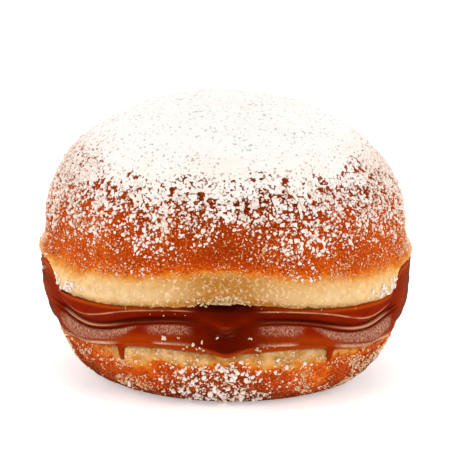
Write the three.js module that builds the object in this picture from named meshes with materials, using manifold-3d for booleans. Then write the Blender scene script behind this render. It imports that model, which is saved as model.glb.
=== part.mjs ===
// A round yeast doughnut, split level and filled: a tall browned lid with a pale ring round its foot, a thick
// layer of caramel that swells out in ridges between the halves, and a shallow browned base that it stands on.
// Millimetres, +Z up. The front faces -Y, and azimuths are counted from there, positive towards +X. The origin
// is the middle of the bounding box's underside.

import * as THREE from 'three';
import { mergeVertices } from 'three/addons/utils/BufferGeometryUtils.js';
import Module from 'manifold-3d';

// Driving dimensions
const CRUST_WIDTH = 91.4; // across the lid's browned crust, at its widest
const RING_WIDTH = 94.8; // across the pale ring round the lid's foot, the widest part of the doughnut
const BASE_WIDTH = 87.0; // across the base's rim
const REST_WIDTH = 60.0; // across the flat spot that the doughnut stands on
const TOTAL_HEIGHT = 71.5;
const EQUATOR_HEIGHT = 37.6; // of the crust's widest circle
const LID_RIM_HEIGHT = 26.5; // of the lid's lower edge, on average
const SIDE_RIM_HEIGHT = 30.7; // of that edge at both sides, where the caramel wells up over the ring
const BASE_RIM_HEIGHT = 15.8; // of the base's upper edge, on average
const DOME_POWER = 2.11; // the superellipse of the dome: 2 is an ellipse, more is boxier
const BASE_POWER = 1.6; // the superellipse of the base's wall: under 2 tapers towards the flat spot
const PINCH_DEPTH = 4.6; // how far the ring is drawn in at the front, where the doughnut was pinched shut
const LEAN = 0.6; // how far the flat spot lies to the right of the pale ring
const GAP = 0.42; // between the caramel and each half

// Fineness
const SEGMENTS = 88; // round the doughnut
const DOME_STEPS = 11;
const WALL_STEPS = 9;

const CRUST_RADIUS = CRUST_WIDTH / 2;
const RING_RADIUS = RING_WIDTH / 2;
const BASE_RADIUS = BASE_WIDTH / 2;
const REST_RADIUS = REST_WIDTH / 2;
const CROWN_HEIGHT = TOTAL_HEIGHT - EQUATOR_HEIGHT;
const DEGREE = Math.PI / 180;

const { clamp, lerp, smoothstep } = THREE.MathUtils;

// A bump on the front, and the same bump mirrored on both sides of it
const atFront = (azimuth, width) => Math.exp(-((azimuth / width) ** 2));
const onBothSides = (azimuth, middle, width) => atFront(Math.abs(azimuth) - middle, width);

// The share, from 0 in front to 1 at the sides, by which the caramel wells up
const upwelling = (azimuth) =>
  smoothstep(Math.abs(azimuth), 60 * DEGREE, 70 * DEGREE) *
  (1 - smoothstep(Math.abs(azimuth), 80 * DEGREE, 125 * DEGREE));

// Heights of the edges that wave round the doughnut
function lidRim(azimuth) {
  const wave = 1.3 * Math.cos(4 * azimuth) - 0.9 * onBothSides(azimuth, 64 * DEGREE, 14 * DEGREE);
  return lerp(LID_RIM_HEIGHT + wave, SIDE_RIM_HEIGHT, upwelling(azimuth));
}

const baseRim = (azimuth) =>
  BASE_RIM_HEIGHT +
  1.1 * onBothSides(azimuth, 21 * DEGREE, 14 * DEGREE) -
  1.5 * onBothSides(azimuth, 55 * DEGREE, 16 * DEGREE) +
  0.5 * Math.cos(5 * azimuth) * (1 - atFront(azimuth, 90 * DEGREE));

// How far the front is drawn in at a height: most at the lid's rim, and fading out up the dome and down the base
const pinch = (azimuth, height) =>
  PINCH_DEPTH *
  atFront(azimuth, 11.5 * DEGREE) *
  (1 - smoothstep(height, LID_RIM_HEIGHT + 3, EQUATOR_HEIGHT + 12)) *
  (0.15 + 0.85 * smoothstep(height, BASE_RIM_HEIGHT - 4, LID_RIM_HEIGHT));

// Hand-shaped dough is a little out of round
const outOfRound = (azimuth) => 0.35 * Math.cos(3 * azimuth + 0.6) + 0.25 * Math.cos(5 * azimuth + 2.1);

// Points on a smooth curve through a few corners
function smoothed(corners, steps) {
  const curve = new THREE.SplineCurve(corners.map(([r, z]) => new THREE.Vector2(r, z)));
  return curve.getPoints(steps).map((point) => [point.x, point.y]);
}

// The cut face of the lid from its rim inwards, and the same for the base. It is level in the middle, and the
// caramel follows both faces at a gap.
const LEVEL_RADIUS = 36;
const LID_CUT_HEIGHT = LID_RIM_HEIGHT + 0.3;
const BASE_CUT_HEIGHT = BASE_RIM_HEIGHT - 0.2;

function lidCut(azimuth) {
  const rim = lidRim(azimuth);
  return [
    [RING_RADIUS - 2.4, rim],
    [RING_RADIUS - 4.2, rim + 0.1],
    [40, (rim + LID_CUT_HEIGHT) / 2],
    [LEVEL_RADIUS, LID_CUT_HEIGHT],
    [LEVEL_RADIUS / 2, LID_CUT_HEIGHT],
    [0, LID_CUT_HEIGHT],
  ];
}

function baseCut(azimuth) {
  const rim = baseRim(azimuth);
  return [
    [BASE_RADIUS - 1.4, rim],
    [40, (rim + BASE_CUT_HEIGHT) / 2],
    [LEVEL_RADIUS, BASE_CUT_HEIGHT],
    [LEVEL_RADIUS / 2, BASE_CUT_HEIGHT],
    [0, BASE_CUT_HEIGHT],
  ];
}

const raised = (section, distance) => section.map(([r, z]) => [r, z + distance]);

// The lid from its top to the middle of its cut face
function lidSection(azimuth) {
  const rim = lidRim(azimuth);
  const radius = CRUST_RADIUS + outOfRound(azimuth);
  const ring = RING_RADIUS + 0.4 * outOfRound(azimuth);
  const dome = [];
  for (let step = 0; step < DOME_STEPS; step++) {
    const turn = ((step / DOME_STEPS) * Math.PI) / 2;
    dome.push([
      radius * Math.sin(turn) ** (2 / DOME_POWER),
      EQUATOR_HEIGHT + CROWN_HEIGHT * Math.cos(turn) ** (2 / DOME_POWER),
    ]);
  }
  const foot = smoothed(
    [
      [radius, EQUATOR_HEIGHT],
      [radius + 0.5, lerp(rim, EQUATOR_HEIGHT, 0.67)],
      [ring, lerp(rim, EQUATOR_HEIGHT, 0.41)],
      [ring - 0.1, lerp(rim, EQUATOR_HEIGHT, 0.2)],
      [ring - 1.2, rim + 0.4],
    ],
    8,
  );
  return [...dome, ...foot, ...lidCut(azimuth)];
}

// The caramel from the middle of its top to the middle of its underside. In front it leaves a shelf below the
// lid's rim, steps in at a deep groove, and swells out again in a thick lower layer with a thin lip at its foot.
// Round the sides and the back it is one smooth swell.
function caramelSection(azimuth) {
  const rim = lidRim(azimuth);
  const foot = baseRim(azimuth);
  const hollow = atFront(azimuth, 9 * DEGREE); // under the pinch, where the caramel falls back
  const side = smoothstep(Math.abs(azimuth), 58 * DEGREE, 76 * DEGREE);
  const shelfDrop = 0.4 + 2.8 * onBothSides(azimuth, 51 * DEGREE, 11 * DEGREE) + 1.6 * side + 1.2 * hollow;
  const groove =
    22.4 +
    1.5 * onBothSides(azimuth, 16 * DEGREE, 13 * DEGREE) -
    2.3 * onBothSides(azimuth, 48 * DEGREE, 12 * DEGREE) -
    1.4 * atFront(azimuth, 5 * DEGREE);
  const steepness = 4 * upwelling(azimuth) * (1 - upwelling(azimuth));
  const top = raised(lidCut(azimuth), -GAP - 0.4 * steepness).reverse();
  const underside = raised(baseCut(azimuth), GAP);
  const swell = smoothed(
    [
      [45.6 + 1.4 * side - 0.4 * hollow, rim - 0.8],
      [46.2 + 1.1 * side - 0.5 * hollow, rim - shelfDrop - 0.3],
      [44.9 + 1.9 * side, (rim - shelfDrop + groove) / 2 + 0.2],
      [42.8 + 3.8 * side + 0.8 * hollow, groove + 0.3],
      [46.0 + 0.3 * side, groove - 0.3],
      [46.6 - 0.5 * side, (groove + foot) / 2 + 0.8],
      [47.0 - 2.0 * side, foot + 2.3],
      [46.1 - 1.6 * side, foot + 1.2],
      [45.0 - 1.2 * side, foot + 0.5],
    ],
    18,
  );
  return [...top, ...swell, ...underside];
}

// The base from the middle of its cut face to the middle of the flat spot
function baseSection(azimuth) {
  const rim = baseRim(azimuth);
  const radius = BASE_RADIUS + 0.5 * outOfRound(azimuth);
  const wall = [];
  for (let step = 0; step <= WALL_STEPS; step++) {
    const turn = ((step / WALL_STEPS) * Math.PI) / 2;
    const out = Math.cos(turn) ** (2 / BASE_POWER);
    const down = Math.sin(turn) ** (2 / BASE_POWER);
    const knob = 0.5 * Math.sin(6 * azimuth + 2 * step) * Math.sin(2 * turn);
    wall.push([REST_RADIUS + (radius - REST_RADIUS) * out + knob, (rim - 0.8) * (1 - down)]);
  }
  return [
    ...baseCut(azimuth).reverse(),
    ...wall,
    [14, 0],
    [0, 0],
  ];
}

// Section points further in than this keep their place, so that the cut faces stay whole under the pinch
const PINCH_START = 30;

// A lathe whose section changes with the azimuth. A section runs down from the axis and back to it, always with
// the same number of points; the lathe takes its points upwards.
function shapedLathe(sectionAt) {
  const outline = sectionAt(0).map(([r, z]) => new THREE.Vector2(r, z));
  const lathe = new THREE.LatheGeometry(outline, SEGMENTS);
  const place = lathe.attributes.position;
  for (let segment = 0; segment <= SEGMENTS; segment++) {
    const azimuth = ((segment / SEGMENTS) * 2 - 1) * Math.PI;
    const section = sectionAt(azimuth).reverse();
    section.forEach(([r, z], row) => {
      const share = clamp((r - PINCH_START) / (CRUST_RADIUS - PINCH_START), 0, 1);
      const pinched = r - share * pinch(azimuth, z);
      place.setXYZ(
        segment * outline.length + row,
        pinched * Math.sin(azimuth) + LEAN * (1 - z / LID_RIM_HEIGHT),
        -pinched * Math.cos(azimuth),
        z,
      );
    });
  }
  return lathe;
}

// manifold-3d fuses the drips to the caramel
const wasm = await Module();
wasm.setup();

function toSolid(geometry) {
  const bare = geometry.clone();
  bare.deleteAttribute('normal');
  bare.deleteAttribute('uv');
  const merged = mergeVertices(bare, 1e-3);
  return new wasm.Manifold(
    new wasm.Mesh({
      numProp: 3,
      vertProperties: new Float32Array(merged.attributes.position.array),
      triVerts: new Uint32Array(merged.index.array),
    }),
  );
}

function toGeometry(solid) {
  const mesh = solid.getMesh();
  const geometry = new THREE.BufferGeometry();
  geometry.setAttribute('position', new THREE.BufferAttribute(mesh.vertProperties, 3));
  geometry.setIndex(new THREE.BufferAttribute(mesh.triVerts, 1));
  geometry.computeVertexNormals();
  return geometry;
}

// A run of caramel that hangs from the lip, with so much of its length below the base's rim
function drip(azimuth, length) {
  const halfWidth = 1.3;
  const halfDepth = 0.95;
  const fusedLength = 2.6; // how far its upper end runs into the lip
  const bead = new THREE.SphereGeometry(1, 14, 10);
  bead.scale(halfWidth, halfDepth, (length + fusedLength) / 2);
  const reach = BASE_RADIUS + 0.5 * outOfRound(azimuth) + GAP + halfDepth;
  const hang = baseRim(azimuth) + (fusedLength - length) / 2;
  bead.rotateZ(azimuth);
  bead.translate(
    reach * Math.sin(azimuth) + LEAN * (1 - hang / LID_RIM_HEIGHT),
    -reach * Math.cos(azimuth),
    hang,
  );
  return toSolid(bead);
}

const DRIPS = [
  [-35 * DEGREE, 3.9],
  [35 * DEGREE, 3.7],
  [118 * DEGREE, 3.0],
  [-152 * DEGREE, 4.1],
];

function caramelGeometry() {
  const layer = toSolid(shapedLathe(caramelSection));
  const fused = DRIPS.reduce((whole, [azimuth, length]) => whole.add(drip(azimuth, length)), layer);
  return toGeometry(fused);
}

function piece(name, geometry, color, roughness) {
  const material = new THREE.MeshStandardMaterial({ color, roughness, metalness: 0 });
  const mesh = new THREE.Mesh(geometry, material);
  mesh.name = name;
  return mesh;
}

const doughnut = new THREE.Group();
doughnut.add(
  piece('lid_bun', toGeometry(toSolid(shapedLathe(lidSection))), 0xb9561a, 0.7),
  piece('caramel_filling', caramelGeometry(), 0x84230a, 0.2),
  piece('base_bun', toGeometry(toSolid(shapedLathe(baseSection))), 0xb9561a, 0.7),
);

// Stand the doughnut with the middle of its box over the origin
const box = new THREE.Box3().setFromObject(doughnut, true);
const middle = box.getCenter(new THREE.Vector3());
doughnut.position.set(-middle.x, -middle.y, -box.min.z);

export default doughnut;
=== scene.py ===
"""The looks of a round filled doughnut: a browned lid and base of yeast dough, a thick ridged layer of
caramel between them, and icing sugar as real grains. Shapes are worked out in millimetres, and become metres
when a mesh is made. The front faces -Y, and azimuths are counted from there."""

import math

import bpy
import numpy as np
from mathutils import Matrix, Vector


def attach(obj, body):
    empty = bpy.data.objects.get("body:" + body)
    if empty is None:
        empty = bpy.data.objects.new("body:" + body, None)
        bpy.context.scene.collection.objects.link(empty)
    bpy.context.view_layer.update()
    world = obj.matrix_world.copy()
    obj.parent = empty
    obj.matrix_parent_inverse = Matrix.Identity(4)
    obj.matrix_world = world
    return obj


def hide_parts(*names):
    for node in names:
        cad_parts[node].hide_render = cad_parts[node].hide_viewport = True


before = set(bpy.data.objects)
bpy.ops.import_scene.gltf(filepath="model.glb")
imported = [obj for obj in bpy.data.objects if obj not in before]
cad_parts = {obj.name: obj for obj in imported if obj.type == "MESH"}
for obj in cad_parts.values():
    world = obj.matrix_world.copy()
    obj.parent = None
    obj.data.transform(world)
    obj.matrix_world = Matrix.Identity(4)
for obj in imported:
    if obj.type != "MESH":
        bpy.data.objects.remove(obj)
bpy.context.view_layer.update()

MM = 0.001
DEGREE = math.pi / 180

# Radii, heights and depths of the main forms
CRUST_RADIUS = 91.4 / 2
RING_RADIUS = 94.8 / 2
BASE_RADIUS = 87 / 2
REST_RADIUS = 60 / 2
TOTAL_HEIGHT = 71.5
EQUATOR_HEIGHT = 37.6
LID_RIM_HEIGHT = 26.5
SIDE_RIM_HEIGHT = 30.7
BASE_RIM_HEIGHT = 15.8
DOME_POWER = 2.11
BASE_POWER = 1.6
PINCH_DEPTH = 4.6
LEAN = 0.6
GAP = 0.42  # between the caramel and the dough, inside
CROWN_HEIGHT = TOTAL_HEIGHT - EQUATOR_HEIGHT
LEVEL_RADIUS = 36  # within it, the cuts are level
LID_CUT_HEIGHT = LID_RIM_HEIGHT + 0.3
BASE_CUT_HEIGHT = BASE_RIM_HEIGHT - 0.2
PINCH_START = 30  # the radius where the front begins to be drawn in
PINCH_WIDTH = 11.5  # in degrees

# Fineness of the three big pieces, round them and down them
LID_SEGMENTS = 580
CARAMEL_SEGMENTS = 600
BASE_SEGMENTS = 520
DOME_ROWS = 86
FOOT_ROWS = 34
SWELL_ROWS = 140
WALL_ROWS = 60

# Runs of caramel over the base's pale edge: azimuth in degrees, length, width
RUNS = [(-35.8, 4.1, 2.1), (35.8, 3.9, 2.1), (118, 3, 2.4), (-152, 4.1, 2.2)]

# How toasted the crust is, by the distance over the edge of the lid's pale ring, or under that of the base
LID_TOAST = ([-3, -0.6, 0.8, 2.2, 4.5, 12, 20], [0, 0.18, 0.31, 0.42, 0.52, 0.58, 0.66])
BASE_TOAST = ([-3, -0.4, 0.5, 1.6, 4, 8, 12], [0.05, 0.2, 0.33, 0.4, 0.43, 0.53, 0.9])

# Sugar: the share that the coat of flakes covers at each height, the same for the thin film under it, and
# how broken up the coat looks
FLAKE_SIZE = 1.15
COAT_COVER = (
    [37, 40, 42, 44, 46, 48, 50, 52, 54, 56, 58, 60, 62, 64],
    [0, 0.08, 0.16, 0.24, 0.32, 0.39, 0.46, 0.54, 0.66, 0.79, 0.9, 0.97, 1.03, 1.12],
)
FILM_COVER = ([38, 46, 50, 55, 60], [0, 0.06, 0.14, 0.2, 0.2])
SPARSE_COAT = ([40, 48, 54, 61], [1, 0.7, 0.45, 0])
GRAIN_ROUGHNESS = 0.22
CROP = 12  # how many points of an even crop are tried for each that is wanted
CUBE_STRIDE = 8191


# ---- noise and small helpers


def rise(x, low, high):
    """Rises smoothly from 0 at low to 1 at high."""
    t = np.clip((x - low) / (high - low), 0, 1)
    return t * t * (3 - 2 * t)


def fall(x, low, high):
    return 1 - rise(x, low, high)


def turning(around, start, end):
    """Rises smoothly from 0 to 1 between two angles in degrees."""
    return rise(around, start * DEGREE, end * DEGREE)


def lattice(cell, seed):
    """A repeatable random number from 0 to 1 for each whole-numbered cell."""
    x, y, z = (cell[..., axis].astype(np.int64) for axis in range(3))
    mix = (x * 374761393 + y * 668265263 + z * 1440662683 + seed * 1013904223) & 0xFFFFFFFF
    mix = ((mix ^ (mix >> 13)) * 1274126177) & 0xFFFFFFFF
    mix = ((mix ^ (mix >> 16)) * 2246822519) & 0xFFFFFFFF
    return (mix ^ (mix >> 15)) / 0xFFFFFFFF


def noise(points, size, seed, octaves=1):
    """Smooth noise, from -1 to 1, with features of about this size in millimetres."""
    total = 0
    weight = 0
    for octave in range(octaves):
        scaled = points * (2**octave / size)
        cell = np.floor(scaled)
        share = scaled - cell
        share = share * share * (3 - 2 * share)
        value = 0
        for corner in np.ndindex(2, 2, 2):
            near = np.where(corner, share, 1 - share).prod(axis=-1)
            value = value + near * lattice(cell + corner, seed + 31 * octave)
        total = total + value * 0.5**octave
        weight += 0.5**octave
    return 2 * total / weight - 1


def cells(points, size, seed):
    """Splits space into uneven cells of about this size. For each point: how far it is from the border of its
    cell, as a share of the size, and a random number from 0 to 1 that its whole cell has."""
    scaled = points / size
    base = np.floor(scaled)
    first = np.full(len(points), 9)
    second = first.copy()
    owner = np.zeros(len(points))
    for offset in np.ndindex(3, 3, 3):
        cell = base + offset - 1
        centre = cell + np.stack([lattice(cell, seed + axis) for axis in range(3)], axis=-1)
        distance = np.linalg.norm(scaled - centre, axis=-1)
        nearer = distance < first
        second = np.where(nearer, first, np.minimum(second, distance))
        owner = np.where(nearer, lattice(cell, seed + 3), owner)
        first = np.where(nearer, distance, first)
    return second - first, owner


def unit(vectors):
    return vectors / np.maximum(np.linalg.norm(vectors, axis=-1, keepdims=True), 1e-9)


def azimuth_of(points):
    return np.arctan2(points[..., 0], -points[..., 1])


def bump(azimuth, width, middle=0):
    """A rounded bump on the front, or mirrored on both sides of it, with its width and middle in degrees."""
    return np.exp(-(((np.abs(azimuth) / DEGREE - middle) / width) ** 2))


def bump_at(distance, width):
    return np.exp(-((distance / width) ** 2))


def smoothed(corners, steps):
    """Rows of (radius, height) on a smooth curve through a few corners, at each azimuth."""
    table = np.array([np.broadcast_arrays(*corner) for corner in corners])
    last = len(corners) - 1
    rows = []
    for at in np.linspace(0, last, steps + 1):
        i = min(int(at), last - 1)
        t = at - i
        before, start, end, after = (table[min(max(i + k, 0), last)] for k in (-1, 0, 1, 2))
        rows.append(
            start
            + 0.5 * t * (end - before)
            + t**2 * (before - 2.5 * start + 2 * end - 0.5 * after)
            + t**3 * (1.5 * (start - end) + 0.5 * (after - before))
        )
    return rows


# ---- the doughnut's forms


def upwelling(azimuth):
    """The share, from 0 in front to 1 at the sides, by which the caramel wells up over the pale ring."""
    around = np.abs(azimuth) / DEGREE
    return rise(around, 60, 70) * fall(around, 80, 125)


def lid_rim(azimuth):
    wave = LID_RIM_HEIGHT + 1.3 * np.cos(4 * azimuth) - 0.9 * bump(azimuth, 14, 64)
    return wave + (SIDE_RIM_HEIGHT - wave) * upwelling(azimuth)


def base_rim(azimuth):
    waves = 0.5 * np.cos(5 * azimuth) * (1 - bump(azimuth, 90))
    return BASE_RIM_HEIGHT + 1.1 * bump(azimuth, 14, 21) - 1.5 * bump(azimuth, 16, 55) + waves


def lid_crust_edge(azimuth):
    """The height where the lid's pale ring turns brown."""
    waves = 1.1 * rise(np.abs(azimuth), 1.8, 2.4) * np.cos(5 * azimuth + 1)
    return 31.2 + 3.6 * bump(azimuth, 38) + 5.8 * bump(azimuth, 20, 100) + waves


def base_crust_edge(azimuth):
    """The height where the base's pale upper edge turns brown."""
    back = rise(np.abs(azimuth), 1.6, 2.2)
    side = turning(np.abs(azimuth), 44, 54) * (1 - back)
    return 12 + 1.5 * bump(azimuth, 25) + 1.6 * side + 0.8 * back * np.cos(4 * azimuth)


def out_of_round(azimuth):
    return 0.35 * np.cos(3 * azimuth + 0.6) + 0.25 * np.cos(5 * azimuth + 2.1)


def place(azimuth, radius, height):
    """Points on the doughnut, drawn in at the front and leaning as a whole."""
    under_dome = 1 - rise(height, LID_RIM_HEIGHT + 3, EQUATOR_HEIGHT + 12)
    over_base = 0.15 + 0.85 * rise(height, BASE_RIM_HEIGHT - 4, LID_RIM_HEIGHT)
    pinch = PINCH_DEPTH * bump(azimuth, PINCH_WIDTH) * (under_dome * over_base)
    share = np.clip((radius - PINCH_START) / (CRUST_RADIUS - PINCH_START), 0, 1)
    pinched = radius - share * pinch
    x = pinched * np.sin(azimuth) + LEAN * (1 - height / LID_RIM_HEIGHT)
    return np.stack([x, -pinched * np.cos(azimuth), height + 0 * azimuth], axis=-1)


def level_cut(rim, level):
    """From near the wall, where the cut is as high as the rim, to the middle, where it is level."""
    return [(40, (rim + level) / 2), (LEVEL_RADIUS, level), (LEVEL_RADIUS / 2, level)]


def lid_cut(azimuth):
    rim = lid_rim(azimuth)
    outer = [(RING_RADIUS - 2.4, rim), (RING_RADIUS - 3.3, rim + 0.05), (RING_RADIUS - 4.2, rim + 0.1)]
    return outer + level_cut(rim, LID_CUT_HEIGHT)


def base_cut(azimuth):
    rim = base_rim(azimuth)
    return [(BASE_RADIUS - 1.4, rim), (BASE_RADIUS - 2.4, rim - 0.05)] + level_cut(rim, BASE_CUT_HEIGHT)


def dome(azimuth, turn):
    """Radius and height on the lid's dome: turn is 0 at the top and 90 degrees at the equator."""
    radius = (CRUST_RADIUS + out_of_round(azimuth)) * np.sin(turn) ** (2 / DOME_POWER)
    height = EQUATOR_HEIGHT + CROWN_HEIGHT * np.cos(turn) ** (2 / DOME_POWER)
    return radius, height


def lid_section(azimuth):
    rim = lid_rim(azimuth)
    climb = EQUATOR_HEIGHT - rim
    radius = CRUST_RADIUS + out_of_round(azimuth)
    ring = RING_RADIUS + 0.4 * out_of_round(azimuth)
    foot = [
        (radius, EQUATOR_HEIGHT),
        (radius + 0.5, rim + 0.67 * climb),
        (ring, rim + 0.41 * climb),
        (ring - 0.1, rim + 0.2 * climb),
        (ring - 1.2, rim + 0.4),
    ]
    turns = np.linspace(0, math.pi / 2, DOME_ROWS + 1)[1:-1]
    return [*(dome(azimuth, turn) for turn in turns), *smoothed(foot, FOOT_ROWS), *lid_cut(azimuth)]


def facing(azimuth):
    """How far round from the front the caramel's ridges are here. The back has the same ridges as the front,
    but without the hollow in the middle."""
    around = np.abs(azimuth)
    return np.where(around < math.pi / 2, around, np.hypot(math.pi - around, 19 * DEGREE))


class Ridges:
    """The caramel's forms at each azimuth, as heights: the lid's rim, the upper edge, the dark groove between
    the two layers, the end of the brushed face, the thin lip and the foot. Under is how far the bead reaches
    below the groove, and plain the share, from 0 in front, by which the ridges smooth out at the sides."""

    def __init__(self, azimuth):
        around = facing(azimuth)
        base = base_rim(azimuth)
        self.rim = lid_rim(azimuth)
        side = turning(around, 58, 76)
        self.edge = self.rim - 0.1 - 2.75 * bump(around, 13, 49.5) - 1.6 * side - 2.5 * bump(azimuth, 11)
        waves = 1.5 * bump(around, 13, 16) - 2.3 * bump(around, 12, 48) - 0.45 * bump(around, 8, 38)
        self.groove = 22.4 + waves - 1.4 * bump(azimuth, 5)
        self.under = 0.65 + 0.4 * turning(around, 26, 36)
        self.end = base + 1.7 + 2.2 * bump(around, 24) + 1.5 * turning(around, 50, 60)
        side = turning(around, 46, 54)
        self.lip = base + 1 + 1.25 * bump(around, 25) + 0.7 * side - 1.3 * bump(azimuth, 5)
        side = turning(around, 52, 60)
        self.foot = base - 0.1 + 1.6 * bump(around, 30) - 2.4 * bump(azimuth, 6.5) + 0.7 * side
        self.plain = 0.8 * turning(around, 57, 72)


def brushing_and_reflection_around(azimuth, down):
    """Where the lower layer is brushed and carries a painted reflection of the lamps: two patches on each
    side, with a clean gap between them that widens from the top of the face (down is 0) to its end (down is
    1)."""
    around = facing(azimuth) / DEGREE
    inner = 0.75 * rise(around, 9, 15) * fall(around, 21 - 2 * down, 26 - 3 * down)
    outer = rise(around, 25 + 8 * down, 31 + 7 * down) * fall(around, 58, 63)
    return inner + outer


def caramel_section(azimuth):
    """Down the caramel: an upper layer with a thin edge, a deep groove, a bead, a tall face and a thin lip.
    At the sides it is one smooth mass."""
    form = Ridges(azimuth)
    rim, edge, groove, under = form.rim, form.edge, form.groove, form.under
    end, lip, foot, plain = form.end, form.lip, form.foot, form.plain
    hollow = bump(azimuth, 9)
    brushed_and_reflection = [brushing_and_reflection_around(azimuth, down) for down in (0, 0.5, 1)]
    shallow = 0.8 * turning(facing(azimuth), 30, 45)
    bead = 45.65 + 0.5 * turning(facing(azimuth), 26, 40)
    ridged = [
        (46.7 - 4.8 * hollow, rim + 0.7 - 0.95 * hollow + 0.2 * plain),
        (46.35 - 3.05 * hollow, edge + 0.5 * (rim - edge)),
        (46.3 - 1.6 * hollow, edge),
        (46.3 - 1.3 * hollow, edge - 0.3),
        (45.8 - 0.3 * hollow, (edge + groove) / 2 + 0.2),
        (45.2 + 0.4 * hollow + 0.5 * shallow, groove + 0.85 - 0.2 * shallow),
        (44.8 + hollow + shallow, groove + 0.4 - 0.1 * shallow),
        (44.9 + hollow + shallow, groove + 0.15),
        (45.3 + 0.7 * hollow, groove + 0.05),
        (bead + 0.5 * hollow, groove - 0.1),
        (bead + 0.5 * hollow, groove - 0.5 * under),
        (45.5 + 0.3 * (1 - brushed_and_reflection[0]) + 0.5 * hollow, groove - under),
        (46.7 - 0.4 * brushed_and_reflection[0], groove - under - 0.45),
        (46.95 - 0.1 * brushed_and_reflection[1], (groove - under - 0.6 + end) / 2),
        (46.85 + 0.35 * brushed_and_reflection[2], end + 0.3),
        (46.75 + 0.1 * brushed_and_reflection[2], end - 0.3),
        (46.9 + 0.35 * brushed_and_reflection[2], lip + 0.1),
        (46.85 + 0.2 * brushed_and_reflection[2], lip - 0.4),
        (46.1, foot + 0.3),
        (45.2, foot - 0.05),
        (44.3, base_rim(azimuth) - 0.4),
        (43.4, base_rim(azimuth) - 0.5),
    ]
    swell = [(45.6 - 4.5 * hollow + 0.9 * plain, rim + 0.2 - 0.3 * hollow + 0.4 * plain)]
    for radius, height in ridged:
        smooth = 47.2 - 3.4 * (np.clip(27.5 - height, -1, 12) / 12) ** 2
        swell.append((radius + plain * (smooth - radius), height))
    top = [(r, z - GAP) for r, z in reversed(lid_cut(azimuth))]
    underside = [(r, z + GAP) for r, z in base_cut(azimuth)]
    return [*top, *smoothed(swell, SWELL_ROWS), *underside]


def base_section(azimuth):
    rim = base_rim(azimuth)
    radius = BASE_RADIUS + 0.5 * out_of_round(azimuth)
    wall = []
    for turn in np.linspace(0, math.pi / 2, WALL_ROWS + 1):
        out = np.cos(turn) ** (2 / BASE_POWER)
        down = np.sin(turn) ** (2 / BASE_POWER)
        wall.append((REST_RADIUS + (radius - REST_RADIUS) * out, (rim - 0.8) * (1 - down)))
    return [*reversed(base_cut(azimuth)), *wall, (REST_RADIUS * 0.75, 0), (REST_RADIUS / 3, 0)]


def ring_faces(rows, segments, start=0):
    """Faces between rows of points that each go right round, where start is the first point's number."""
    index = start + np.arange(rows * segments).reshape(rows, segments)
    after = np.roll(index, -1, axis=1)
    return np.stack([index[:-1], index[1:], after[1:], after[:-1]], axis=-1).reshape(-1, 4)


class Surface:
    """A closed lathe-like surface whose section changes with the azimuth: a grid of rows from the upper end
    of the axis to its lower end, and a point on the axis at each end."""

    def __init__(self, section, segments, top, bottom):
        self.azimuth = np.linspace(-math.pi, math.pi, segments, endpoint=False)
        rows = [np.broadcast_arrays(r, z, self.azimuth) for r, z in section(self.azimuth)]
        self.radius, self.height = (np.array([row[k] for row in rows], float) for k in (0, 1))
        self.points = place(self.azimuth[None, :], self.radius, self.height)
        self.ends = [place(np.zeros(1), np.zeros(1), np.full(1, end)) for end in (top, bottom)]

    def normals(self):
        along = np.roll(self.points, -1, axis=1) - np.roll(self.points, 1, axis=1)
        down = np.gradient(self.points, axis=0)
        return unit(np.cross(down, along))

    def push(self, distance):
        """Moves each point of the grid along its normal."""
        self.points = self.points + self.normals() * distance[..., None]

    def vertices(self):
        return np.concatenate([self.points.reshape(-1, 3), *self.ends])

    def spread(self, values):
        """Values for the grid's points, followed by those for the two ends."""
        return np.concatenate([values.reshape(-1), [values[0].mean(), values[-1].mean()]])

    def faces(self):
        rows, segments = self.radius.shape
        around = np.arange(segments)
        following = np.roll(around, -1)
        top = rows * segments
        last = top - segments
        upper = np.stack([np.full(segments, top), around, following], axis=-1)
        lower = np.stack([np.full(segments, top + 1), last + following, last + around], axis=-1)
        return [ring_faces(rows, segments), upper, lower]

    def triangles(self):
        quads, upper, lower = self.faces()
        return np.concatenate([quads[:, [0, 1, 2]], quads[:, [0, 2, 3]], upper, lower])


# ---- meshes


def add_object(name, data):
    """Makes an object from its data, and adds it to the scene."""
    made = bpy.data.objects.new(name, data)
    bpy.context.scene.collection.objects.link(made)
    return made


def add_mesh(name, vertices, face_groups, material, attributes=None):
    """Makes a mesh object from points in millimetres and arrays of faces, and fastens it to the body."""
    mesh = bpy.data.meshes.new(name)
    mesh.vertices.add(len(vertices))
    mesh.vertices.foreach_set("co", (np.asarray(vertices) * MM).astype(np.float32).ravel())
    corners = np.concatenate([group.ravel() for group in face_groups]).astype(np.int32)
    sizes = np.concatenate([np.full(len(group), group.shape[1]) for group in face_groups])
    mesh.loops.add(len(corners))
    mesh.loops.foreach_set("vertex_index", corners)
    mesh.polygons.add(len(sizes))
    mesh.polygons.foreach_set("loop_start", (np.cumsum(sizes) - sizes).astype(np.int32))
    mesh.polygons.foreach_set("loop_total", sizes.astype(np.int32))
    mesh.polygons.foreach_set("use_smooth", np.full(len(sizes), True))
    for label, values in (attributes or {}).items():
        layer = mesh.attributes.new(label, "FLOAT", "POINT")
        layer.data.foreach_set("value", np.asarray(values, np.float32))
    mesh.update()
    mesh.validate()
    mesh.materials.append(material)
    piece = add_object(name, mesh)
    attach(piece, "root")
    return piece


def add_surface(name, surface, material, attributes):
    attributes = {label: surface.spread(values) for label, values in attributes.items()}
    return add_mesh(name, surface.vertices(), surface.faces(), material, attributes)


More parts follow.
